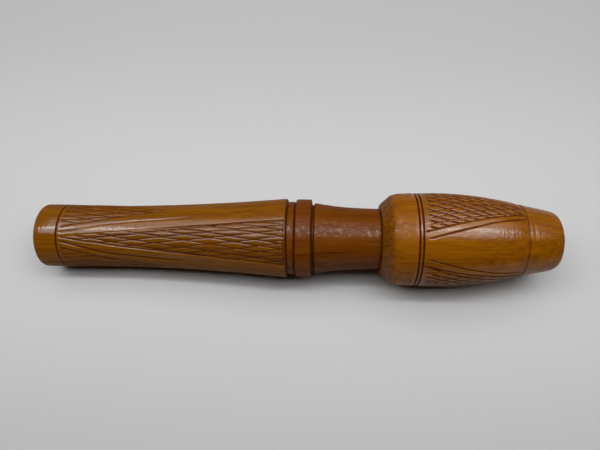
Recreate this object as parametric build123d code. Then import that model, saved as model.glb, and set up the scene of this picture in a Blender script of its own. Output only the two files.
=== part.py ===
"""A hand-checkered wooden game call: a blown reed call turned on a lathe from two sticks of wood.

The axis of the call is the X axis. The exhaust end is at -X, the mouth end is at +X, and the origin
is half way between them, on the axis. Every "station" below is a distance in millimetres from the
exhaust end, measured along the axis, and every "r" is a radius about it.
"""
from build123d import *
import os

# ---------------------------------------------------------------- driving dimensions (millimetres)
LENGTH = 175.0            # exhaust face to mouth face
EXHAUST_R = 10.95         # plain collar at the exhaust end
GRIP_R = 10.65            # slim end of the checkered grip
GRIP_MID_R = 11.62        # half way up the flare
GRIP_END_R = 13.68        # where the flare meets the lanyard groove
RING_R = 13.4             # plain ring beside the neck
NECK_R = 12.1             # neck beside the ring
NECK_SLIM_R = 10.35       # neck where it meets the barrel
BARREL_R = 15.875         # the widest place on the call, one and a quarter inch across
LIP_R = 11.6              # flat lip of the barrel around the neck
SHOULDER_R = 15.6         # where the rounded shoulder turns into the bulb
TAPER_R = 12.28           # where the bulb turns into the mouth cone
MOUTH_R = 10.07           # mouth end, before its rounded rim

# stations along the call
COLLAR_GROOVE = 7.8       # fine groove between the collar and the grip
GRIP_START = 28.3         # the grip is straight up to here, then flares
GRIP_MID = 56.5
GRIP_END = 84.75
LANYARD_GROOVE = (85.5, 87.9)
RING = (88.1, 93.2)
NECK_START = 94.4
LIP = 116.45              # the barrel starts here
SHOULDER_END = 122.4      # the rounded shoulder turns into the bulb here
WIDEST = 134.2
TAPER_START = 162.7       # from here the mouth end is a plain cone
TAPER_END = 173.2

# fine turned grooves: the station of each, and the radius of the wood there
STOPPER_GROOVES = {COLLAR_GROOVE: EXHAUST_R}
BARREL_GROOVES = {127.7: 15.79, 128.9: 15.82, TAPER_START: TAPER_R}

# the passages inside
EXHAUST_BORE_R = 6.0      # the stopper's bore behind the trough
SEAT_BORE_R = 6.35        # half-inch seat for the trough and wedge, bored from the tenon end
SEAT_START = 107.8
MOUTH_BORE_R = 6.35
SOCKET_R = 9.525          # three-quarter-inch socket and sound chamber in the barrel
SOCKET_END = 156.0
MOUTH_BORE_START = 160.0
EDGE_BREAK = 0.4          # small chamfer on the hole edges

# the joint between stopper and barrel
TENON_R = 9.48
TENON_END = 136.0
SHOULDER_GAP = 0.1        # the neck stops just short of the lip
RING_SECTION_R = 0.9      # half the thickness of each rubber ring
RING_CENTRE_R = 8.60
RING_STATIONS = {"tenon_ring_rear": 121.0, "tenon_ring_front": 130.5}
RING_SEAT_GAP = 0.02      # under each rubber ring
RING_SIDE_GAP = 0.05      # beside each rubber ring

# the sounding parts
INSERT_R = 6.33           # trough and wedge, a push fit in the half-inch seat
TROUGH_START = 108.0
WEDGE_START = 112.0
WEDGE_END = 128.0         # the reed is free beyond the wedge
TROUGH_END = 152.0
BOARD_CURVE_R = 221.0     # the board falls away from the reed on this radius
CHANNEL_WIDTH = 5.0
CHANNEL_AXIS_Z = -2.4
CHANNEL_END = 149.0
REED_WIDTH = 9.5
REED_THICKNESS = 0.25
REED_END = 151.5
REED_CORNER_R = 2.0
REED_GAP = 0.01           # air between the reed and what it lies against


# ---------------------------------------------------------------- helpers
def at(station, r):
    """A point of a turned outline: the station along the axis, and the radius."""
    return (station - LENGTH / 2, r)


def turned(*lines):
    """Turns a closed run of lines about the X axis."""
    return revolve(make_face(Curve() + list(lines)), axis=Axis.X)


def path(*points):
    """Straight lines through stations and radii."""
    return Polyline(*[at(*point) for point in points])


def fine_groove(station, surface_r, depth=0.45, half_width=0.3):
    """The ring of wood that a pointed tool takes out of a turned surface."""
    above = 0.6
    reach = half_width * (depth + above) / depth
    section = Polyline(at(station, surface_r - depth),
                       at(station - reach, surface_r + above),
                       at(station + reach, surface_r + above),
                       at(station, surface_r - depth))
    return revolve(make_face(section), axis=Axis.X)


def rod(start, end, radius, z=0.0):
    """A round bar along the X axis between two stations."""
    middle = (start + end) / 2 - LENGTH / 2
    return Pos(middle, 0, z) * Rot(0, 90, 0) * Cylinder(radius, end - start)


def block(start, end, width, bottom, top):
    """A rectangular block between two stations, centred on the XZ plane."""
    middle = (start + end) / 2 - LENGTH / 2
    return Pos(middle, 0, (bottom + top) / 2) * Box(end - start, width, top - bottom)


# ---------------------------------------------------------------- the stopper
def stopper():
    """The long back half: exhaust collar, checkered grip, lanyard groove, ring, neck and tenon."""
    collar_round = 0.4
    grip_edge = GRIP_END_R - 0.4
    groove_floor_r = 12.3
    ring_edge = RING_R - 0.35
    v_bottom = ((RING[1] + NECK_START) / 2, 11.3)
    neck_end = LIP - SHOULDER_GAP

    collar = path((EDGE_BREAK, EXHAUST_BORE_R), (0, EXHAUST_BORE_R + EDGE_BREAK),
                  (0, EXHAUST_R - collar_round))
    collar_edge = RadiusArc(at(0, EXHAUST_R - collar_round), at(collar_round, EXHAUST_R), collar_round)
    grip = path((collar_round, EXHAUST_R), (COLLAR_GROOVE, EXHAUST_R), (GRIP_START, GRIP_R))
    flare = ThreePointArc(at(GRIP_START, GRIP_R), at(GRIP_MID, GRIP_MID_R), at(GRIP_END, GRIP_END_R))
    ring = path((GRIP_END, GRIP_END_R), (LANYARD_GROOVE[0], grip_edge),
                (LANYARD_GROOVE[0] + 0.5, groove_floor_r), (LANYARD_GROOVE[1] - 0.2, groove_floor_r),
                (RING[0], ring_edge), (RING[0] + 0.35, RING_R), (RING[1] - 0.35, RING_R),
                (RING[1], ring_edge), v_bottom, (NECK_START, NECK_R))
    neck = Spline(at(NECK_START, NECK_R), at(98.3, 11.6), at(102.4, 10.96), at(108.0, 10.55),
                  at(neck_end, NECK_SLIM_R), tangents=((1, -0.07), (1, -0.01)))
    tenon = path((neck_end, NECK_SLIM_R), (neck_end, TENON_R), (TENON_END - EDGE_BREAK, TENON_R),
                 (TENON_END, TENON_R - EDGE_BREAK), (TENON_END, SEAT_BORE_R), (SEAT_START, SEAT_BORE_R),
                 (SEAT_START, EXHAUST_BORE_R), (EDGE_BREAK, EXHAUST_BORE_R))

    body = turned(collar, collar_edge, grip, flare, ring, neck, tenon)
    for station, surface_r in STOPPER_GROOVES.items():
        body -= fine_groove(station, surface_r)
    seat_r = RING_CENTRE_R - RING_SECTION_R - RING_SEAT_GAP
    half_seat = RING_SECTION_R + RING_SIDE_GAP
    for station in RING_STATIONS.values():
        seat = rod(station - half_seat, station + half_seat, TENON_R + 1)
        body -= seat - rod(station - half_seat, station + half_seat, seat_r)
    return body


# ---------------------------------------------------------------- the barrel
def mouthpiece_barrel():
    """The front half: a bulb with a rounded shoulder, hollow, tapering to the mouth end."""
    rim_round = 1.7
    inner_round = 0.6
    lip_round = 0.7
    shoulder_start = (119.8, 14.85)

    shoulder = ThreePointArc(at(*shoulder_start), at(121.0, 15.38), at(SHOULDER_END, SHOULDER_R))
    bulb_back = ThreePointArc(at(SHOULDER_END, SHOULDER_R), at(128.5, 15.81), at(WIDEST, BARREL_R))
    bulb_front = ThreePointArc(at(WIDEST, BARREL_R), at(148.5, 15.0), at(TAPER_START, TAPER_R))
    mouth = path((TAPER_START, TAPER_R), (TAPER_END, MOUTH_R))
    rim = ThreePointArc(at(TAPER_END, MOUTH_R),
                        at(TAPER_END + 0.72 * rim_round, MOUTH_R - 0.38 * rim_round),
                        at(LENGTH, MOUTH_R - rim_round))
    rim_face = path((LENGTH, MOUTH_R - rim_round), (LENGTH, MOUTH_BORE_R + inner_round))
    inner_rim = RadiusArc(at(LENGTH, MOUTH_BORE_R + inner_round),
                          at(LENGTH - inner_round, MOUTH_BORE_R), inner_round)
    inside = path((LENGTH - inner_round, MOUTH_BORE_R), (MOUTH_BORE_START, MOUTH_BORE_R),
                  (SOCKET_END, SOCKET_R),
                  (LIP + EDGE_BREAK, SOCKET_R), (LIP, SOCKET_R + EDGE_BREAK), (LIP, LIP_R))
    lip = path((LIP, LIP_R), (LIP + 0.3 * lip_round, LIP_R + 0.8 * lip_round), shoulder_start)

    body = turned(shoulder, bulb_back, bulb_front, mouth, rim, rim_face, inner_rim, inside, lip)
    for station, surface_r in BARREL_GROOVES.items():
        body -= fine_groove(station, surface_r)
    return body


def tenon_ring(station):
    """One rubber ring in its groove round the tenon."""
    return Pos(station - LENGTH / 2, 0, 0) * Rot(0, 90, 0) * Torus(RING_CENTRE_R, RING_SECTION_R)


# ---------------------------------------------------------------- the sounding parts
def tone_trough():
    """A half-round board with a sound channel. Its top falls away under the free end of the reed."""
    fall = BOARD_CURVE_R - (BOARD_CURVE_R ** 2 - (TROUGH_END - WEDGE_END) ** 2) ** 0.5
    middle = (WEDGE_END + TROUGH_END) / 2
    sag = BOARD_CURVE_R - (BOARD_CURVE_R ** 2 - (middle - WEDGE_END) ** 2) ** 0.5
    flat = path((TROUGH_START, 0), (WEDGE_END, 0))
    curve = ThreePointArc(at(WEDGE_END, 0), at(middle, -sag), at(TROUGH_END, -fall))
    ends = path((TROUGH_END, -fall), (TROUGH_END, -3.2), (TROUGH_END - 9, -INSERT_R - 1),
                (TROUGH_START, -INSERT_R - 1), (TROUGH_START, 0))
    side = Plane.XZ * make_face(Curve() + [flat, curve, ends])
    board = rod(TROUGH_START, TROUGH_END, INSERT_R) & extrude(side, INSERT_R + 1, both=True)

    half = CHANNEL_WIDTH / 2
    round_end = Pos(CHANNEL_END - half - LENGTH / 2, 0, CHANNEL_AXIS_Z)
    board -= rod(TROUGH_START - 1, CHANNEL_END - half, half, CHANNEL_AXIS_Z)
    board -= block(TROUGH_START - 1, CHANNEL_END - half, CHANNEL_WIDTH, CHANNEL_AXIS_Z, 1)
    board -= round_end * Sphere(half)
    board -= round_end * Cylinder(half, 4, align=(Align.CENTER, Align.CENTER, Align.MIN))
    return board


def reed():
    """A thin brass strip, clamped by the wedge, with its tip corners rounded."""
    strip = block(WEDGE_START, REED_END, REED_WIDTH, REED_GAP, REED_GAP + REED_THICKNESS)
    tip_corners = strip.edges().filter_by(Axis.Z).group_by(Axis.X)[-1]
    return fillet(tip_corners, REED_CORNER_R)


def reed_wedge():
    """The half-round block that holds the reed down on the trough."""
    underside = REED_THICKNESS + 2 * REED_GAP
    upper_half = block(WEDGE_START, WEDGE_END, 2 * INSERT_R + 1, underside, INSERT_R + 1)
    wedge = rod(WEDGE_START, WEDGE_END, INSERT_R) & upper_half
    front_bevel = make_face(path((WEDGE_END + 1, 2.0), (WEDGE_END + 1, INSERT_R + 2),
                                 (WEDGE_END - 4, INSERT_R + 2), (WEDGE_END + 1, 2.0)))
    return wedge - extrude(Plane.XZ * front_bevel, INSERT_R + 1, both=True)


# ---------------------------------------------------------------- one file per piece
pieces = {
    "stopper": stopper(),
    "mouthpiece_barrel": mouthpiece_barrel(),
    "tone_trough": tone_trough(),
    "reed": reed(),
    "reed_wedge": reed_wedge(),
}
for name, station in RING_STATIONS.items():
    pieces[name] = tenon_ring(station)

os.makedirs("parts", exist_ok=True)
for name, piece in pieces.items():
    export_step(piece, f"parts/{name}.step")
    print(f"{name}: {piece.volume:.0f} mm3")
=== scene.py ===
# %% [markdown]
# # A hand-checkered wooden game call
#
# The call is two sticks of orange-brown wood turned on a lathe. The long back half is the stopper: a plain
# collar, a flared grip, a groove for a lanyard, a plain ring, and a slim neck that plugs into the
# bulb-shaped barrel. Both halves are checkered by hand, which means that a pointed tool has cut two
# crossing families of long slanting lines inside panels, and the lines leave rows of narrow diamonds.
# Inside there is a half-round trough, a brass reed, a wedge that clamps it and two rubber rings.
#
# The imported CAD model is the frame. It fixes the size and place of every piece, and this script gives each
# piece its finish. The call's own sizes are in millimetres, and are turned into metres when a mesh is made.

# %% Load the frame
import math

import bmesh
import bpy
from mathutils import Matrix, Vector


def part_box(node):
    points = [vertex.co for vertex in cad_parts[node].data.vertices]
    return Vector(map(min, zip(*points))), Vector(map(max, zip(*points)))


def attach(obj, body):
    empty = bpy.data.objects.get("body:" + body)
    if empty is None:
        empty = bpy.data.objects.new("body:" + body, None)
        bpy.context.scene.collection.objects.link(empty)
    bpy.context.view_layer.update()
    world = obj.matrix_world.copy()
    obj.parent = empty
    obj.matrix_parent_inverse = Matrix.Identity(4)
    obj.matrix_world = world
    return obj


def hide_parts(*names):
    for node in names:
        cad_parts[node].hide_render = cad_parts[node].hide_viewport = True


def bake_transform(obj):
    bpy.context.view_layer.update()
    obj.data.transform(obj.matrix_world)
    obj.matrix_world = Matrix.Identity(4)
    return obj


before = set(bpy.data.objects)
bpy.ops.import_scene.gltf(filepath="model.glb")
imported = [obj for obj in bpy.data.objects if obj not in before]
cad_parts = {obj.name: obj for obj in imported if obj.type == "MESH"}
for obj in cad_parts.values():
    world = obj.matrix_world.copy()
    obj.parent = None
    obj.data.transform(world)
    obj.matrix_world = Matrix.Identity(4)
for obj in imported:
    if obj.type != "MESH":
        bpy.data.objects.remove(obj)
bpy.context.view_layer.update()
MM = 0.001
half_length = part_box("mouthpiece_barrel")[1].x / MM
print("pieces in the frame:", sorted(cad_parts))
print("half the length of the call:", round(half_length, 2), "mm")

# %% [markdown]
# ## Maths that is written as Python
#
# Geometry Nodes and shader nodes both do their sums with Math nodes. A long sum is hard to read as a web of
# nodes, so a small class wraps a socket and lets plain Python operators add the nodes. Its add method makes
# any other kind of node. The same class serves the carving of the wood and the colour of the wood.

# %% A socket that understands + - * /
class Wire:
    """A node socket that adds Math nodes when it is used in an expression."""

    def __init__(self, tree, socket=None):
        self.tree = tree
        self.socket = socket

    def add(self, kind, settings=None, inputs=None, output=0):
        """Adds a node, sets it up, feeds its inputs, and returns one of its outputs."""
        node = self.tree.nodes.new(kind)
        for name, value in (settings or {}).items():
            setattr(node, name, value)
        for name, value in (inputs or {}).items():
            if isinstance(value, Wire):
                self.tree.links.new(value.socket, node.inputs[name])
            else:
                node.inputs[name].default_value = value
        return Wire(self.tree, node.outputs[output])

    def out(self, name):
        """Another output of the same node."""
        return Wire(self.tree, self.socket.node.outputs[name])

    def math(self, operation, *others):
        """A Math node on this value and any others."""
        values = {i: value for i, value in enumerate((self, *others))}
        return self.add("ShaderNodeMath", {"operation": operation}, values)

    def ramp(self, low, high, bottom=0.0, top=1.0):
        """Rises smoothly from bottom to top while this value goes from low to high."""
        values = {0: self, 1: low, 2: high, 3: bottom, 4: top}
        return self.add("ShaderNodeMapRange", {"interpolation_type": "SMOOTHSTEP"}, values)

    def __add__(self, other):
        return self.math("ADD", other)

    def __sub__(self, other):
        return self.math("SUBTRACT", other)

    def __mul__(self, other):
        return self.math("MULTIPLY", other)

    def __truediv__(self, other):
        return self.math("DIVIDE", other)

    def __abs__(self):
        return self.math("ABSOLUTE")

    def __rsub__(self, other):
        return (self * -1.0) + other

    # A sum or a product may also start with a plain number.
    __radd__ = __add__
    __rmul__ = __mul__


print("Wire is ready")

# %% [markdown]
# ## Turning the blanks
#
# A lathe makes a shape that is the same all the way round, so each wooden half starts as one closed outline
# of stations along the axis and radii. A station is counted from the exhaust end. Corners get a small
# rounding, because a knife-sharp edge never catches a highlight, and a sanded wooden edge always does. The
# outline is then cut into short steps where the checkering will be carved, and long steps where nothing
# will happen.

# %% Helpers for a turned outline
WIDE_ROUNDING = 0.7   # a corner that is rounded by more than this gets more points
SIDE_SHARE = 0.45     # the largest share of a side that the rounding at one end may take
SKIN_RADIUS = 9.9     # the outer skin is farther out than this, and the tenon and the bores are not
COARSE_STEP = 4.5     # the longest step where nothing is carved


def corner_curve(before, corner, after, rounding):
    """Points of a small curve that replaces a sharp corner. A wide curve has more points than a tight one."""
    corner = Vector(corner)
    ends = []
    for neighbour in (before, after):
        side = Vector(neighbour) - corner
        ends.append(corner + side.normalized() * min(rounding, side.length * SIDE_SHARE))
    steps = 4 if rounding > WIDE_ROUNDING else 2
    points = []
    for i in range(steps + 1):
        t = i / steps
        points.append(ends[0] * (1 - t) ** 2 + corner * 2 * t * (1 - t) + ends[1] * t ** 2)
    return points


def arc_through(start, middle, end, steps):
    """Points of the circular arc through three points, without its last point."""
    (ax, ay), (bx, by), (cx, cy) = start, middle, end
    a2, b2, c2 = ax * ax + ay * ay, bx * bx + by * by, cx * cx + cy * cy
    divisor = 2 * (ax * (by - cy) + bx * (cy - ay) + cx * (ay - by))
    centre_x = (a2 * (by - cy) + b2 * (cy - ay) + c2 * (ay - by)) / divisor
    centre_y = (a2 * (cx - bx) + b2 * (ax - cx) + c2 * (bx - ax)) / divisor
    radius = math.hypot(ax - centre_x, ay - centre_y)
    first = math.atan2(ay - centre_y, ax - centre_x)
    last = math.atan2(cy - centre_y, cx - centre_x)
    angles = [first + (last - first) * i / steps for i in range(steps)]
    return [(centre_x + radius * math.cos(a), centre_y + radius * math.sin(a)) for a in angles]


def round_corners(outline):
    """Each outline entry is (station, radius) or (station, radius, rounding of that corner)."""
    points = []
    for i, entry in enumerate(outline):
        if len(entry) == 3 and entry[2] > 0:
            before, after = outline[i - 1][:2], outline[(i + 1) % len(outline)][:2]
            points += corner_curve(before, entry[:2], after, entry[2])
        else:
            points.append(Vector(entry[:2]))
    return points


def cut_into_steps(points, fine_from, fine_to, fine_step):
    """Adds points so that no step is long, and steps are short where the wood is carved."""
    stepped = []
    for i, here in enumerate(points):
        there = points[(i + 1) % len(points)]
        middle = (here + there) / 2
        carved = fine_from <= middle.x <= fine_to and middle.y > SKIN_RADIUS
        pieces = max(1, round((there - here).length / (fine_step if carved else COARSE_STEP)))
        stepped += [here.lerp(there, k / pieces) for k in range(pieces)]
    return stepped


def turned_blank(name, points, around):
    """Spins a closed outline about the X axis in a number of steps, and returns the object."""
    vertices = []
    for point in points:
        for j in range(around):
            turn = 2 * math.pi * j / around
            y, z = point.y * math.cos(turn), point.y * math.sin(turn)
            vertices.append(((point.x - half_length) * MM, y * MM, z * MM))
    faces = []
    for i in range(len(points)):
        here, there = i * around, (i + 1) % len(points) * around
        for j in range(around):
            k = (j + 1) % around
            faces.append((here + j, there + j, there + k, here + k))
    mesh = bpy.data.meshes.new(name)
    mesh.from_pydata(vertices, [], faces)
    shell = bmesh.new()
    shell.from_mesh(mesh)
    bmesh.ops.recalc_face_normals(shell, faces=shell.faces)
    shell.to_mesh(mesh)
    shell.free()
    mesh.shade_smooth()
    blank = bpy.data.objects.new(name, mesh)
    bpy.context.scene.collection.objects.link(blank)
    print(name, "has", len(points), "rings and", 2 * len(faces), "triangles")
    return blank


print("no step of a turned outline is longer than", COARSE_STEP, "mm")

# %% [markdown]
# ## The stopper's outline
#
# From the exhaust face the outline runs along the outside to the end of the tenon, and comes back through
# the bore. The grip is nearly straight at first and then flares on one long arc. The lanyard groove has a
# low bead between two crisp lines, and a deep V parts the ring from the neck.

# %% Turn the stopper
COLLAR, RING, TENON = 10.95, 13.4, 9.48   # radii
SOUND_BORE, TROUGH_BORE = 6.0, 6.35       # radii
COLLAR_GROOVE = 7.8
GRIP_END = 84.75
LANYARD_LINES = (85.3, 87.75)
RING_LINE = 93.7
NECK_END, TENON_END = 116.3, 136.0
TROUGH_STOP = 107.8
RING_SEATS = (121.0, 130.5)
SEAT_FLOOR, HALF_SEAT = 7.68, 0.95


def fine_groove(station, radius, depth=0.5):
    """The three corners of a small V cut with the point of a skew chisel."""
    half_width, rounding = 0.33, 0.12
    return [(station - half_width, radius, rounding), (station, radius - depth, 0.1),
            (station + half_width, radius, rounding)]


stopper_outline = [(0, SOUND_BORE, 0.4), (0, COLLAR, 0.45)] + fine_groove(COLLAR_GROOVE, COLLAR)
# The grip is straight, and then flares.
stopper_outline += [(28.3, 10.65)] + arc_through((28.8, 10.65), (56.5, 11.62), (84.4, 13.65), 24)
# The lanyard groove has a low bead between its two lines.
stopper_outline += [(GRIP_END, 13.66, 0.3), (LANYARD_LINES[0], 12.35, 0.15), (85.7, 12.5, 0.12),
                    (87.3, 12.6, 0.2), (LANYARD_LINES[1], 12.2, 0.12)]
# The ring ends in the V.
stopper_outline += [(88.1, RING, 0.45), (93.2, RING, 0.45), (93.5, 11.5, 0.15), (94.0, 11.4, 0.15)]
# The neck is waisted.
stopper_outline += [(94.4, 12.15, 0.3), (98.3, 11.6, 2.0), (102.4, 10.98, 2.0), (108.0, 10.57, 2.5),
                    (NECK_END, 10.35, 0.25), (NECK_END, TENON, 0.1)]
for seat in RING_SEATS:
    stopper_outline += [(seat - HALF_SEAT, TENON, 0.1), (seat - HALF_SEAT, SEAT_FLOOR, 0.1),
                        (seat + HALF_SEAT, SEAT_FLOOR, 0.1), (seat + HALF_SEAT, TENON, 0.1)]
stopper_outline += [(TENON_END, TENON, 0.6), (TENON_END, TROUGH_BORE, 0.2), (TROUGH_STOP, TROUGH_BORE),
                    (TROUGH_STOP, SOUND_BORE)]

stopper_points = cut_into_steps(round_corners(stopper_outline), fine_from=7.9, fine_to=84.6, fine_step=0.85)
stopper = turned_blank("stopper_turned", stopper_points, around=440)

# %% [markdown]
# ## The barrel's outline
#
# The barrel starts with a flat lip round the neck, then a rounded shoulder that shows end grain. The bulb
# is nearly straight up to its widest place and one long arc beyond it, and the mouth end is a plain cone
# with a well rounded rim. Two fine grooves with a bead between them bound the checkering at the back, and
# one bounds it at the front.

# %% Turn the barrel
LIP = 116.45
MOUTH_END = 2 * half_length
SOCKET, MOUTH_HOLE = 9.525, 6.35   # radii
WIDEST = (134.2, 15.875)
DOUBLE_GROOVE = (127.7, 128.9)
MOUTH_GROOVE = 162.7

barrel_outline = [(LIP, SOCKET, 0.3), (LIP, 11.8, 0.5)]
# The shoulder is rounded in two steps.
barrel_outline += [(119.8, 14.85, 1.2), (121.0, 15.38, 0.6), (122.4, 15.6, 0.8), (125.5, 15.74)]
barrel_outline += fine_groove(DOUBLE_GROOVE[0], 15.79) + fine_groove(DOUBLE_GROOVE[1], 15.82)
barrel_outline += arc_through(WIDEST, (148.5, 15.0), (162.2, 12.43), 16)
barrel_outline += fine_groove(MOUTH_GROOVE, 12.28, 0.42)
# A faint line that the tool left stands a little in front of the groove, and then the cone runs to the rim.
barrel_outline += [(164.4, 11.92, 0.2), (164.65, 11.8, 0.2), (164.9, 11.82, 0.2)]
barrel_outline += [(173.0, 10.1, 1.2), (174.5, 9.4, 1.2), (MOUTH_END, 8.4, 0.5), (MOUTH_END, MOUTH_HOLE, 0.6)]
# Inside, the mouth hole opens into the socket.
barrel_outline += [(160.0, MOUTH_HOLE, 0.4), (156.0, SOCKET, 0.6)]

barrel_points = cut_into_steps(round_corners(barrel_outline), fine_from=129.2, fine_to=162.4, fine_step=0.42)
barrel = turned_blank("barrel_turned", barrel_points, around=580)

# %% [markdown]
# ## The rule of the checkering
#
# The panels repeat three times round the call, so the pattern is a rule. The rule reads each point's
# station and its angle round the axis. Two families of slanting lines cross in each panel, and a line is
# where a phase, the way across over the gap plus or minus the way along over the diamond's length, is a
# whole number. Every line is a stroke of the hand, so each is shifted by its own small random amount, and
# slow noise bends it.
#
# The same functions serve twice: Geometry Nodes press the mesh in where a cut is, and the wood's material
# paints the same cuts dark: painted shade that stands in for the shade in them, together with old varnish and
# dirt.

# %% Reading a point, and drawing lines on the wood
SHARE = 120.0         # degrees in one repeat of the pattern
DEGREE = math.radians(1.0)
MEAN_RADIUS = 13.0    # noise on the skin is laid out on a cylinder of this radius


def noise(place, scale, detail=2.0, seed=0.0):
    """Smooth noise from about -1 to 1 at a place, stretched by a scale along each axis."""
    stretched = place.add("ShaderNodeVectorMath", {"operation": "MULTIPLY"}, {0: place, 1: scale})
    found = place.add("ShaderNodeTexNoise", {"noise_dimensions": "4D"},
                      {"Vector": stretched, "W": seed, "Scale": 1.0, "Detail": detail})
    return (found - 0.5) * 2.4


class Reading:
    """What the rules need to know about a point of the turned wood."""

    def __init__(self, place):
        xyz = place.add("ShaderNodeSeparateXYZ", None, {0: place})
        self.y, self.z = xyz.out("Y"), xyz.out("Z")
        self.station = xyz + half_length
        self.angle = self.z.math("ARCTAN2", self.y * -1.0) / DEGREE
        self.radius = (self.y * self.y + self.z * self.z).math("SQRT")
        self.per_degree = self.radius * DEGREE
        around = {0: xyz, 1: self.y / self.radius * MEAN_RADIUS, 2: self.z / self.radius * MEAN_RADIUS}
        self.skin = place.add("ShaderNodeCombineXYZ", None, around)


def folded(angle, centre):
    """The angle from the nearest panel centre, from -60 to 60 degrees."""
    return (angle - centre).math("WRAP", SHARE / 2, -SHARE / 2)


def groove(distance, half_width):
    """1 on a cut line and 0 beyond its half width, with straight sides."""
    return (1.0 - abs(distance) / half_width).math("MAXIMUM", 0.0)


def stroke(phase, gap, seed, sway=0.22):
    """The distance in millimetres to the nearest hand-drawn line of a family."""
    number = phase.math("ROUND")
    random = number.add("ShaderNodeTexWhiteNoise", {"noise_dimensions": "1D"}, {"W": number + seed})
    return abs(phase - number - (random - 0.5) * sway) * gap


def leaning(first, second):
    """How far a diamond's face is sunk. Each tips a little at random, as a hand-held tool does."""
    cell = first.add("ShaderNodeCombineXYZ", None, {0: first.math("FLOOR"), 1: second.math("FLOOR")})
    random = first.add("ShaderNodeTexWhiteNoise", {"noise_dimensions": "2D"}, {"Vector": cell})
    return (random - 0.5) * (first.math("FRACT") + second.math("FRACT") - 1.0) * 0.3 + 0.12


print("the pattern repeats every", SHARE, "degrees")

# %% [markdown]
# ## The grip's panels
#
# Long panels start as points at the collar and widen towards the ring. Between them short panels start wide
# at the collar and end as points half way along. A lighter second line runs outside each long panel. Where
# the grip ends, a few extra cuts crowd between the strokes, and an uneven cut across stops them all.

# %% The grip's rule
LONG_PANEL = 60.0     # degrees up from -Y, about the axis, to the middle of a long panel
GRIP_START = 9.0
GRIP_CROSSING = 67.6  # here two strokes cross in the middle of a long panel
STOP_CUT = 84.35
GRIP_LENGTH = 16.4    # length of a diamond on the grip
GRIP_GAP = 2.1        # its width
START_TWIST, TWIST_LENGTH = 5.0, 25.0   # panels start some degrees higher, and straighten over a length
LONG_HALF, LONG_GROWTH = 48.0, 62.0     # half angle that a long panel grows towards, and over what length
SHORT_HALF, SHORT_LENGTH = 42.0, 36.0   # half angle of a short panel at the collar, and its length


def grip_rule(place, gap=GRIP_GAP, length=GRIP_LENGTH, wander=1.0):
    """Returns how deep the cut is at a point, from 0 to 1, and whether it lies in a panel."""
    point = Reading(place)
    station, per_degree = point.station, point.per_degree
    outside = point.radius.ramp(SKIN_RADIUS - 0.1, SKIN_RADIUS + 0.1)
    on_grip = outside * station.ramp(8.5, 9.6) * station.ramp(GRIP_END - 0.2, GRIP_END, 1.0, 0.0)
    drift = noise(point.skin, (0.07, 0.16, 0.16), 1.0, 4.0) * wander
    angle = point.angle + drift * 1.6
    along = (station - GRIP_START).math("MAXIMUM", 0.0)
    centre = (along / -TWIST_LENGTH).math("EXPONENT") * START_TWIST + LONG_PANEL

    long_angle = folded(angle, centre)
    long_half = (1.0 - (along / -LONG_GROWTH).math("EXPONENT")) * LONG_HALF
    long_edge = (long_half - abs(long_angle)) * per_degree
    upper = long_angle.ramp(-2.0, 2.0)

    short_angle = folded(angle, centre + SHARE / 2)
    short_half = (1.0 - along / SHORT_LENGTH).math("MAXIMUM", 0.0).math("POWER", 1.2) * SHORT_HALF
    beyond_point = station.ramp(43.0, 46.0) * 9.0
    short_edge = (short_half - abs(short_angle)) * per_degree - beyond_point
    in_short = short_edge.math("GREATER_THAN", 0.0)
    panel_angle = long_angle + in_short * (short_angle - long_angle)

    inside = long_edge.math("MAXIMUM", short_edge).ramp(0.0, 0.22) * on_grip
    across = panel_angle * per_degree / gap
    bend = noise(point.skin, (0.06, 0.35, 0.35), 1.0, 9.0) * wander * 1.3
    turn = (station - GRIP_CROSSING + bend) / length
    falling = stroke(across + turn, gap, 3.0)
    rising = stroke(across - turn, gap, 57.0)
    press = (noise(point.skin, (0.12, 0.5, 0.5), 2.0, 17.0) * 0.35 + 0.85).math("MINIMUM", 1.0)
    cuts = groove(falling, 0.38).math("MAXIMUM", groove(rising, 0.34)) * press
    crowded = stroke(across - turn + 0.5, gap, 91.0)
    cuts = cuts.math("MAXIMUM", groove(crowded, 0.18) * station.ramp(80.3, 81.5) * 0.8)
    stop = groove(station - STOP_CUT, 0.45) * noise(point.skin, (0.0, 1.3, 1.3), 1.0, 5.0).ramp(-0.6, 0.2)
    cuts = cuts.math("MAXIMUM", stop)
    rounded = falling.math("MINIMUM", rising).ramp(0.0, 0.8, 0.22, 0.0)
    dome = rounded + leaning(across + turn, across - turn)

    border = groove(long_edge, 0.32) * (1.0 - upper * station.ramp(36.0, 56.0, 0.6, 0.0))
    border = border.math("MAXIMUM", groove(short_edge, 0.34))
    second_edge = long_edge + (station.ramp(GRIP_START, 26.0) * 9.0 + 8.0) * per_degree
    second = groove(second_edge, 0.5) * station.ramp(44.0, 60.0, 1.0, 0.0) * (1.0 - upper * 0.5)
    lines = border.math("MAXIMUM", second) * on_grip
    return (cuts.math("MAXIMUM", dome) * inside).math("MAXIMUM", lines), inside


print("the middle of a long panel lies", LONG_PANEL, "degrees up from -Y")

# %% [markdown]
# ## The barrel's panels
#
# Each panel of the barrel is a wedge with its base at the double groove and its narrow end at the front
# groove, and the smooth fields between them are shaped like a shield. Two lines border each panel: the
# inner one bounds the diamonds, and the outer one starts a little later. The rising lines run nearly
# through; the falling ones are short dashes that each end at a rising line.

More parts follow.
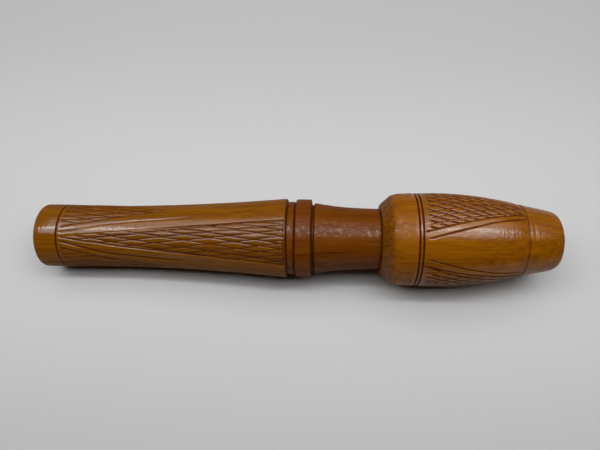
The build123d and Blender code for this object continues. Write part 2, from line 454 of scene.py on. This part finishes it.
# %% The barrel's rule
BARREL_PANEL = 116.2  # degrees up from -Y to the middle of a panel
BASE, TIP = 129.1, 162.3
RISING_GAP, FALLING_GAP = 2.22, 1.99
INNER_HALF, INNER_TAPER = 39.9, 0.965   # half angle of a panel at its base, and degrees lost in each mm
OUTER_HALF, OUTER_TAPER = 49.3, 1.04    # the same for the outer border line
CROSSING_ALONG, CROSSING_ACROSS = 133.6, -7.75   # a place where a rising and a falling line cross
RISING_ALONG, RISING_ACROSS = 0.103, 0.4388      # rising lines passed in each mm along and across
FALLING_ALONG, FALLING_ACROSS = 0.175, 0.4714


def barrel_rule(place, rising_gap=RISING_GAP, falling_gap=FALLING_GAP, wander=1.0):
    """Returns how deep the cut is at a point, from 0 to 1, and whether it lies in a panel."""
    point = Reading(place)
    station, per_degree = point.station, point.per_degree
    outside = point.radius.ramp(11.4, 11.6)
    on_bulb = outside * station.ramp(BASE + 0.1, BASE + 0.6) * station.ramp(TIP - 0.2, TIP, 1.0, 0.0)
    drift = noise(point.skin, (0.1, 0.16, 0.16), 1.0, 8.0) * wander
    panel_angle = folded(point.angle + drift * 0.9, BARREL_PANEL)

    inner_half = INNER_HALF - (station - BASE) * INNER_TAPER
    outer_half = OUTER_HALF - (station - BASE) * OUTER_TAPER
    inner_edge = (inner_half - abs(panel_angle)) * per_degree
    outer_edge = (outer_half - abs(panel_angle)) * per_degree

    across = panel_angle * per_degree - CROSSING_ACROSS
    along = station - CROSSING_ALONG + noise(point.skin, (0.12, 0.3, 0.3), 1.0, 2.0) * wander * 0.5
    rising_phase = along * RISING_ALONG - across * RISING_ACROSS
    falling_phase = along * FALLING_ALONG + across * FALLING_ACROSS
    rising = stroke(rising_phase, rising_gap, 11.0, 0.16)
    falling = stroke(falling_phase, falling_gap, 39.0, 0.2)
    dash = rising_phase.math("FRACT").ramp(0.1, 0.26)

    inside = inner_edge.ramp(0.0, 0.2) * on_bulb
    begun = station.ramp(BASE + 1.5, BASE + 2.6, 0.3, 1.0)
    cuts = (groove(rising, 0.27) * 0.85).math("MAXIMUM", groove(falling, 0.47) * dash)
    rounded = falling.math("MINIMUM", rising).ramp(0.0, 0.5, 0.1, 0.0)
    dome = rounded + leaning(falling_phase, rising_phase * -1.0) * 0.6
    inner_line = groove(inner_edge, 0.32)
    outer_line = groove(outer_edge, 0.32) * station.ramp(BASE + 1.2, BASE + 2.2)
    lines = inner_line.math("MAXIMUM", outer_line) * on_bulb
    return (cuts.math("MAXIMUM", dome) * inside * begun).math("MAXIMUM", lines), inside


print("the middle of a barrel panel lies", BARREL_PANEL, "degrees up from -Y")

# %% [markdown]
# ## The carving trees
#
# One Geometry Nodes tree per half reads a point, asks the rule how deep the cut is, and moves the point
# straight towards the axis by that share of the cut's depth. The gaps, the wander of the hand and the depth
# are inputs of the tree.

# %% Build the carving trees
def carving_tree(name, rule, first, second):
    """A tree that carves by a rule, with two gaps or lengths, the wander and the depth as its inputs."""
    tree = bpy.data.node_groups.new(name, "GeometryNodeTree")
    new_socket = tree.interface.new_socket
    new_socket("Geometry", in_out="INPUT", socket_type="NodeSocketGeometry")
    for label in (first, second, "Wander", "Cut depth"):
        new_socket(label, in_out="INPUT", socket_type="NodeSocketFloat")
    new_socket("Wood", in_out="INPUT", socket_type="NodeSocketMaterial")
    new_socket("Geometry", in_out="OUTPUT", socket_type="NodeSocketGeometry")
    given = Wire(tree).add("NodeGroupInput")
    position = given.add("GeometryNodeInputPosition")
    place = given.add("ShaderNodeVectorMath", {"operation": "SCALE"}, {0: position, "Scale": 1 / MM})
    cut, inside = rule(place, given.out(first), given.out(second), given.out("Wander"))
    depth = cut * given.out("Cut depth") * MM
    across = given.add("ShaderNodeVectorMath", {"operation": "MULTIPLY"}, {0: position, 1: (0, 1, 1)})
    outward = given.add("ShaderNodeVectorMath", {"operation": "NORMALIZE"}, {0: across})
    inward = given.add("ShaderNodeVectorMath", {"operation": "SCALE"}, {0: outward, "Scale": depth * -1.0})
    carved = given.add("GeometryNodeSetPosition", None, {"Geometry": given, "Offset": inward})
    whole = given.add("GeometryNodeRealizeInstances", None, {"Geometry": carved})
    finished = given.add("GeometryNodeSetMaterial", None, {"Geometry": whole, "Material": given.out("Wood")})
    output = tree.nodes.new("NodeGroupOutput")
    tree.links.new(finished.socket, output.inputs[0])
    print(name, "has", len(tree.nodes), "nodes")
    return tree


grip_tree = carving_tree("grip_checkering", grip_rule, "Gap", "Diamond length")
barrel_tree = carving_tree("barrel_checkering", barrel_rule, "Rising gap", "Falling gap")

# %% [markdown]
# ## Varnished wood
#
# The wood is a dense, orange-brown hardwood with straight grain under a glossy varnish. Object coordinates
# carry the grain: the growth rings are cylinders about a far-away pith, and fibres and pores are noise that
# is stretched along the stick. Where the surface faces along the stick, as on the barrel's shoulder, end
# grain shows, which drinks more varnish. The carving's own masks and the turned lines are painted dark red:
# painted shade that stands in for the shade in the cuts and creases, together with old varnish and dirt.
#
# A cut painted dark, a spot that the hand has worn and a steep side of the stick hardly shine. Gloss that
# fades like this can't be had from the roughness alone, so a second, matte shader in the same colour is mixed
# in there.

# %% Helpers for a material
def start_material(name):
    """A new material, its Principled shader, and the place on the piece in millimetres."""
    material = bpy.data.materials.new(name)
    material.use_nodes = True
    shader = material.node_tree.nodes["Principled BSDF"]
    wire = Wire(material.node_tree)
    coordinates = wire.add("ShaderNodeTexCoord", output="Object")
    place = wire.add("ShaderNodeVectorMath", {"operation": "SCALE"}, {0: coordinates, "Scale": 1 / MM})
    return material, shader, place


def feed(shader, name, value):
    """Links a value to one of the shader's inputs."""
    value.tree.links.new(value.socket, shader.inputs[name])


def roughen(shader, height, strength, distance):
    """Gives the surface fine relief through a bump node."""
    values = {"Strength": strength, "Distance": distance * MM, "Height": height}
    feed(shader, "Normal", height.add("ShaderNodeBump", None, values))


def blend_colour(factor, first, second):
    """Mixes two colours by a factor."""
    settings = {"data_type": "RGBA", "clamp_factor": True}
    return factor.add("ShaderNodeMix", settings, {0: factor, 6: first, 7: second}, output=2)


def between_0_and_1(value):
    """The value, held between 0 and 1."""
    return value.math("MAXIMUM", 0.0).math("MINIMUM", 1.0)


def rgba(red, green, blue):
    """An opaque colour in linear light."""
    return (red, green, blue, 1.0)


print("a material starts from Object coordinates in millimetres")

# %% The colour of the stick
PITH_Y, PITH_Z = -41.0, 30.0   # the heart of the tree lies beside the stick
PITH_SLOPE = 0.02
RING_SPACING = 2.6
VEIN_ANGLE = 43.5              # degrees up from -Y to a dark vein in the ruddy wood
VEIN = rgba(0.06, 0.006, 0.001)


def grain(place, point):
    """Growth rings, fibres, broad streaks and pores."""
    warp = noise(place, (0.012, 0.06, 0.06), 2.0, 3.0) * 2.2
    across = point.y - PITH_Y + point.station * PITH_SLOPE
    down = point.z - PITH_Z
    rings = ((across * across + down * down).math("SQRT") + warp) / RING_SPACING
    growth = rings.math("FRACT").ramp(0.1, 0.9)
    fibre = noise(place, (0.05, 2.2, 2.2), 5.0, 11.0)
    streak = noise(place, (0.014, 0.45, 0.45), 4.0, 5.0)
    pore = noise(place, (0.12, 3.6, 3.6), 2.0, 2.0).ramp(0.3, 0.75)
    return growth, fibre, streak, pore


def stick_colour(place, point, grain_values, tints, ruddy_from):
    """The colour of the wood before its cuts are stained."""
    growth, fibre, streak, pore = grain_values
    pale, deep, ruddy, dark = tints
    station = point.station
    tone = between_0_and_1(growth * 0.1 + fibre * 0.6 + streak * 0.45 + 0.4)
    colour = blend_colour(tone, pale, deep)
    reddened = station.ramp(ruddy_from, ruddy_from + 2.0) * (streak * 0.35 + 0.8)
    colour = blend_colour(reddened, colour, ruddy)
    vein = between_0_and_1(1.0 - abs(point.angle - VEIN_ANGLE + streak * 1.5) / 2.2)
    dark_vein = vein * station.ramp(ruddy_from + 2.0, ruddy_from + 4.0) * 0.6
    colour = blend_colour(dark_vein, colour, VEIN)
    figure = noise(place, (0.03, 0.8, 0.8), 3.0, 14.0).ramp(0.0, 0.6)
    colour = blend_colour(figure * (reddened * 0.6 + 0.14), colour, dark)
    colour = blend_colour(pore * 0.6, colour, dark)

    normal = place.add("ShaderNodeNewGeometry", output="Normal")
    facing_along = abs(place.add("ShaderNodeSeparateXYZ", None, {0: normal}))
    swirl = noise(place, (0.35, 1.1, 1.1), 4.0, 9.0)
    end_grain = facing_along.ramp(0.3, 0.8) * (swirl * 0.6 + 0.5)
    return blend_colour(end_grain, colour, dark)


print("the growth rings are", RING_SPACING, "mm apart")

# %% Painted shade, stain and varnish
# Painted shade: this dark red laid into the cuts and turned lines stands in for their shade, with old varnish
# and dirt in it.
SHADE_AND_STAIN = rgba(0.06, 0.0075, 0.0007)
SHADE_AND_STAIN_RISE = 0.32   # a cut this much deeper than the first darkened depth is fully darkened


def matte_where(shader, colour, share):
    """Mixes in an unvarnished twin of the shader, in the same colour, where the share is high."""
    twin = share.add("ShaderNodeBsdfPrincipled", None, {"Base Color": colour}, output="BSDF")
    matte = twin.socket.node
    matte.inputs["Roughness"].default_value = 0.8
    matte.inputs["Specular IOR Level"].default_value = 0.03
    varnished = Wire(share.tree, shader.outputs["BSDF"])
    mixed = share.add("ShaderNodeMixShader", None, {0: share, 1: varnished, 2: twin})
    output = share.tree.nodes["Material Output"]
    share.tree.links.new(mixed.socket, output.inputs["Surface"])


def varnished_wood(name, rule, pale, deep, ruddy, ruddy_from, worn_span, shade_and_stain_from, creases, dulled, panel_dulling):
    """Wood that is pale and deep brown in the grain, and ruddy beyond the station ruddy_from.

    It is less glossy between the two stations of worn_span, where the hand holds it. Cuts deeper than the
    given starting depth and the turned lines at creases are painted dark red, as painted shade with old
    varnish and dirt in it. Steep sides lose the share of their gloss that dulled gives, and inside the panels
    the colour is drawn darker and the gloss duller by the panels' own share.
    """
    material, shader, place = start_material(name)
    point = Reading(place)
    station = point.station
    dark = rgba(deep[0] * 0.4, deep[1] * 0.33, deep[2] * 0.33)
    growth, fibre, streak, pore = grain(place, point)
    tints = (pale, deep, ruddy, dark)
    colour = stick_colour(place, point, (growth, fibre, streak, pore), tints, ruddy_from)

    cut, inside = rule(place)
    # Inside the panels the colour is drawn darker, and further down they are given less gloss.
    colour = blend_colour(inside * (panel_dulling * 0.6), colour, dark)
    patchy = (noise(point.skin, (0.5, 0.9, 0.9), 2.0, 21.0) * 0.3 + 0.85).math("MINIMUM", 1.0)
    on_skin = point.radius.ramp(SKIN_RADIUS, SKIN_RADIUS + 0.2)
    # Painted shade: the cuts and the turned creases are darkened towards dark red, standing in for the shade
    # in them, with old varnish and dirt.
    for crease in creases:
        cut = cut.math("MAXIMUM", groove(station - crease, 0.42) * on_skin)
    shade_and_stain = cut.ramp(shade_and_stain_from, shade_and_stain_from + SHADE_AND_STAIN_RISE) * patchy
    colour = blend_colour(shade_and_stain, colour, SHADE_AND_STAIN)
    feed(shader, "Base Color", colour)

    back, front = worn_span
    worn = station.ramp(back, back + 2.0) * station.ramp(front, front + 2.0, 1.0, 0.0)
    collar_polish = station.ramp(5.0, 9.0, 0.05, 0.0)
    feed(shader, "Roughness", fibre * 0.03 + streak * 0.03 + worn * 0.1 - collar_polish + 0.16)
    steep = place.add("ShaderNodeLayerWeight", None, {"Blend": 0.5}, output="Facing")
    polished = noise(point.skin, (0.7, 0.9, 0.9), 3.0, 33.0).ramp(0.0, 0.5)
    matte = (worn * (0.8 - polished * 0.7)).math("MAXIMUM", steep.ramp(0.1, 0.42, 0.0, dulled))
    matte = matte.math("MAXIMUM", inside * panel_dulling).math("MAXIMUM", shade_and_stain)
    matte_where(shader, colour, matte)

    turning = noise(place, (1.3, 0.04, 0.04), 3.0, 4.0)
    peel = noise(place, (0.75, 0.75, 0.75), 4.0, 6.0)
    roughen(shader, turning * 0.8 + peel * 0.7 + fibre * 0.2 - pore * 0.2, 0.55, 0.08)
    shader.inputs["IOR"].default_value = 1.57
    print(name, "has", len(material.node_tree.nodes), "nodes")
    return material


stopper_wood = varnished_wood(
    "stopper_wood", grip_rule,
    pale=rgba(0.258, 0.09, 0.0018), deep=rgba(0.108, 0.03, 0.0005),
    ruddy=rgba(0.128, 0.029, 0.0003), ruddy_from=84.0, worn_span=(84.0, 140.0),
    shade_and_stain_from=0.32, creases=(COLLAR_GROOVE, *LANYARD_LINES, RING_LINE), dulled=0.86, panel_dulling=0.3)
# The barrel ends before its ruddy_from, so none of it is ruddy.
barrel_wood = varnished_wood(
    "barrel_wood", barrel_rule,
    pale=rgba(0.33, 0.111, 0.0009), deep=rgba(0.13, 0.033, 0.0005),
    ruddy=rgba(0.25, 0.08, 0.002), ruddy_from=190.0, worn_span=(110.0, 126.0),
    shade_and_stain_from=0.1, creases=DOUBLE_GROOVE, dulled=0.5, panel_dulling=0.1)

# %% [markdown]
# ## Running the carving
#
# A modifier's inputs are set by their sockets' identifiers, before the blank is evaluated for the first time.
# Then the evaluated result becomes a plain mesh, and the blank is thrown away.

# %% Carve both halves
def carve(blank, tree, values, wood):
    """Runs a carving tree on a blank and returns the finished piece as a plain mesh."""
    modifier = blank.modifiers.new("carving", "NODES")
    modifier.node_group = tree
    for item in tree.interface.items_tree:
        if item.in_out == "INPUT" and item.name in values:
            modifier[item.identifier] = values[item.name]
        elif item.name == "Wood":
            modifier[item.identifier] = wood
    evaluated = blank.evaluated_get(bpy.context.evaluated_depsgraph_get())
    mesh = bpy.data.meshes.new_from_object(evaluated)
    before = [vertex.co.yz.length for vertex in blank.data.vertices]
    sunk = [radius - vertex.co.yz.length for radius, vertex in zip(before, mesh.vertices)]
    name = blank.name
    bpy.data.objects.remove(blank)
    mesh.shade_smooth()
    piece = bpy.data.objects.new(name, mesh)
    bpy.context.scene.collection.objects.link(piece)
    print(name, "has", len(mesh.polygons), "faces; the deepest cut is", round(max(sunk) / MM, 2), "mm")
    return piece


hand = {"Wander": 1.0, "Cut depth": 0.36}
grip_sizes = {"Gap": GRIP_GAP, "Diamond length": GRIP_LENGTH}
bulb_sizes = {"Rising gap": RISING_GAP, "Falling gap": FALLING_GAP}
stopper = carve(stopper, grip_tree, {**grip_sizes, **hand}, stopper_wood)
barrel = carve(barrel, barrel_tree, {**bulb_sizes, **hand}, barrel_wood)

# %% [markdown]
# ## The brass reed
#
# The reed is a thin strip of rolled brass with rounded corners at its free end. It bends when the call is
# blown, so it needs crosswise cuts to bend at, which the CAD solid lacks. The cuts lie closer together
# towards the tip, where the corners are round. A Solidify modifier gives the strip its thickness.

# %% Make the reed
def reed_strip():
    """The flat strip, made solid."""
    low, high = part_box("reed")
    corner = 2.0 * MM
    cuts, half_columns = 60, 6
    half_width = (high.y - low.y) / 2
    shell = bmesh.new()
    rows = []
    for i in range(cuts + 1):
        x = low.x + (high.x - low.x) * (1 - (1 - i / cuts) ** 1.6)
        into = max(0.0, x - (high.x - corner))
        side = half_width - corner + math.sqrt(max(corner ** 2 - into ** 2, 0.0))
        columns = range(-half_columns, half_columns + 1)
        rows.append([shell.verts.new((x, side * k / half_columns, high.z)) for k in columns])
    for row, after in zip(rows, rows[1:]):
        for k in range(2 * half_columns):
            shell.faces.new((row[k], after[k], after[k + 1], row[k + 1]))
    bmesh.ops.recalc_face_normals(shell, faces=shell.faces)
    mesh = bpy.data.meshes.new("reed_strip")
    shell.to_mesh(mesh)
    shell.free()
    strip = bpy.data.objects.new("reed_strip", mesh)
    bpy.context.scene.collection.objects.link(strip)
    wall = strip.modifiers.new("thickness", "SOLIDIFY")
    wall.thickness = high.z - low.z
    wall.offset = -1.0 if mesh.polygons[0].normal.z > 0 else 1.0
    evaluated = strip.evaluated_get(bpy.context.evaluated_depsgraph_get())
    solid = bpy.data.meshes.new_from_object(evaluated)
    strip.modifiers.clear()
    strip.data = solid
    print("the reed has", len(solid.polygons), "faces")
    return strip


reed = reed_strip()

# %% [markdown]
# ## The finishes inside
#
# The trough and wedge are bare red cedar, which swells a little when damp and grips the bore. The brass
# keeps the fine lines of the rolling mill. The rings are soft black rubber with a faint bloom.

# %% Cedar, brass and rubber
def bare_cedar():
    """Dry red cedar, with long fibres in soft bands."""
    material, shader, place = start_material("cedar")
    fibre = noise(place, (0.08, 3.0, 3.0), 5.0, 1.0)
    bands = noise(place, (0.01, 0.5, 0.9), 2.0, 8.0)
    tone = between_0_and_1(fibre * 0.35 + bands * 0.45 + 0.45)
    feed(shader, "Base Color", blend_colour(tone, rgba(0.46, 0.22, 0.12), rgba(0.24, 0.085, 0.04)))
    feed(shader, "Roughness", fibre * 0.08 + 0.62)
    roughen(shader, fibre, 0.4, 0.08)
    return material


def rolled_brass():
    """Brass with fine mill lines and a little tarnish."""
    material, shader, place = start_material("reed_brass")
    lines = noise(place, (0.1, 9.0, 9.0), 3.0, 2.0)
    tarnish = noise(place, (0.3, 0.3, 0.3), 4.0, 5.0).ramp(-0.2, 0.9)
    feed(shader, "Base Color", blend_colour(tarnish * 0.6, rgba(0.86, 0.62, 0.27), rgba(0.42, 0.25, 0.09)))
    feed(shader, "Roughness", tarnish * 0.2 + lines * 0.04 + 0.26)
    roughen(shader, lines, 0.25, 0.02)
    shader.inputs["Metallic"].default_value = 1.0
    return material


def black_rubber():
    """Black rubber with a faint grey bloom."""
    material, shader, place = start_material("ring_rubber")
    bloom = noise(place, (0.7, 0.7, 0.7), 5.0, 2.0).ramp(-0.1, 1.0)
    feed(shader, "Base Color", blend_colour(bloom, rgba(0.012, 0.012, 0.013), rgba(0.05, 0.05, 0.052)))
    feed(shader, "Roughness", bloom * 0.25 + 0.5)
    roughen(shader, bloom, 0.2, 0.03)
    return material


cedar, brass, rubber = bare_cedar(), rolled_brass(), black_rubber()
reed.data.materials.clear()
reed.data.materials.append(brass)
finishes = {"tone_trough": cedar, "reed_wedge": cedar, "tenon_ring_rear": rubber, "tenon_ring_front": rubber}
for node, finish in finishes.items():
    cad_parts[node].material_slots[0].material = finish
    print(node, "is finished in", finish.name)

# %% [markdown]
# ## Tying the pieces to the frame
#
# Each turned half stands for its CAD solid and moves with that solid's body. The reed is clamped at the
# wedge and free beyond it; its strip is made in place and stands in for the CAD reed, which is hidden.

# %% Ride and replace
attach(stopper, "stopper")
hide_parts("stopper")
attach(barrel, "barrel")
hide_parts("mouthpiece_barrel")

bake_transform(reed)
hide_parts("reed")

# %% [markdown]
# ## Floor, light and camera
#
# The call lies on a pale grey floor. Its bulb and its exhaust rim touch it, so the floor leans a little
# against the axis. Three wide lamps hang side by side overhead, like a window in a ceiling. A broad one on
# the viewer's side fills the shadows, a narrow bright one just beyond the call makes the band of light
# along the varnish, and a soft one behind lights the far side. The camera looks steeply down from the side.

# %% The floor
rest_front = Vector((WIDEST[0] - half_length, 0, -WIDEST[1]))
rest_back = Vector((0.45 - half_length, 0, -COLLAR))
floor_lean = math.atan2(rest_back.z - rest_front.z, rest_front.x - rest_back.x)


def pale_floor():
    """A wide sheet, palest under the call and a little greyer towards the viewer and the far wall, as painted
    falloff of the overhead light.
    """
    material, shader, place = start_material("pale_floor")
    y = place.add("ShaderNodeSeparateXYZ", None, {0: place}).out("Y")
    # Painted light: the floor is drawn greyer towards the viewer and the far wall, standing in for the
    # falloff of the lamps' light.
    away = y.ramp(-12.0, -85.0) + y.ramp(30.0, 110.0) * 0.8
    mottle = noise(place, (0.012, 0.012, 0.012), 3.0, 1.0)
    painted_light_falloff = between_0_and_1(away + mottle * 0.05)
    colour = blend_colour(painted_light_falloff, rgba(0.57, 0.572, 0.57), rgba(0.49, 0.493, 0.497))
    feed(shader, "Base Color", colour)
    shader.inputs["Roughness"].default_value = 0.7
    size = 3.0
    corners = [(-size, -size, 0), (size, -size, 0), (size, size, 0), (-size, size, 0)]
    mesh = bpy.data.meshes.new("floor")
    mesh.from_pydata(corners, [], [(0, 1, 2, 3)])
    mesh.materials.append(material)
    floor = bpy.data.objects.new("floor", mesh)
    bpy.context.scene.collection.objects.link(floor)
    floor.matrix_world = Matrix.Translation(rest_front * MM) @ Matrix.Rotation(floor_lean, 4, "Y")


pale_floor()
print("the floor leans", round(math.degrees(floor_lean), 2), "degrees")


# %% The lights
LAMP_HEIGHT = 0.4   # metres above the axis


def ceiling_lamp(name, left, right, near, far, radiance):
    """A rectangular lamp that faces straight down, given its edges in metres and its brightness."""
    lamp = bpy.data.lights.new(name, "AREA")
    lamp.shape = "RECTANGLE"
    lamp.size, lamp.size_y = right - left, far - near
    lamp.energy = radiance * math.pi * lamp.size * lamp.size_y
    holder = bpy.data.objects.new(name, lamp)
    holder.location = ((left + right) / 2, (near + far) / 2, LAMP_HEIGHT)
    bpy.context.scene.collection.objects.link(holder)
    print(name, "gives", round(lamp.energy, 2), "W")


ceiling_lamp("broad_lamp", -0.42, 0.42, -0.105, 0.012, radiance=2.9)
ceiling_lamp("bright_lamp", -0.42, 0.40, 0.014, 0.046, radiance=11.8)
ceiling_lamp("soft_lamp", -0.30, 0.42, 0.046, 0.300, radiance=1.6)


def dim_room():
    """Grey walls beyond the call, and darkness on the viewer's side."""
    world = bpy.data.worlds.new("room")
    world.use_nodes = True
    wire = Wire(world.node_tree)
    direction = wire.add("ShaderNodeTexCoord", output="Generated")
    away = wire.add("ShaderNodeSeparateXYZ", None, {0: direction}).out("Y")
    background = world.node_tree.nodes["Background"]
    background.inputs["Color"].default_value = rgba(0.95, 0.97, 1.0)
    world.node_tree.links.new(away.ramp(-0.3, 0.5, 0.005, 0.12).socket, background.inputs["Strength"])
    bpy.context.scene.world = world


dim_room()
bpy.context.scene.view_settings.view_transform = "Standard"
print("the room's look is", bpy.context.scene.view_settings.view_transform)

# %% The camera
def place_camera():
    """Looks at the axis near the middle of the call, turned so that the mouth end is a little nearer."""
    distance = 173.8 * MM
    aim = Vector((89.2 - half_length, 0, 0)) * MM
    raised = math.radians(66.5)
    turn_in, roll = 3.02, 0.60   # degrees
    lift = 0.026                 # share of the distance by which the camera is moved up
    sine, cosine = math.sin(raised), math.cos(raised)
    sight = Matrix(((1, 0, 0), (0, sine, -cosine), (0, cosine, sine)))
    skew = Matrix.Rotation(math.radians(turn_in), 4, "Y") @ Matrix.Rotation(math.radians(roll), 4, "Z")
    turned = sight.to_4x4() @ skew
    up, back = turned.col[1].to_3d(), turned.col[2].to_3d()
    camera = bpy.data.objects.new("camera", bpy.data.cameras.new("camera"))
    camera.data.lens, camera.data.sensor_width = 30.0, 36.0
    camera.data.clip_start = 0.005
    camera.matrix_world = Matrix.Translation(aim + up * distance * lift + back * distance) @ turned
    bpy.context.scene.collection.objects.link(camera)
    bpy.context.scene.camera = camera
    return camera


camera = place_camera()
print("the camera stands at", [round(v, 3) for v in camera.location])
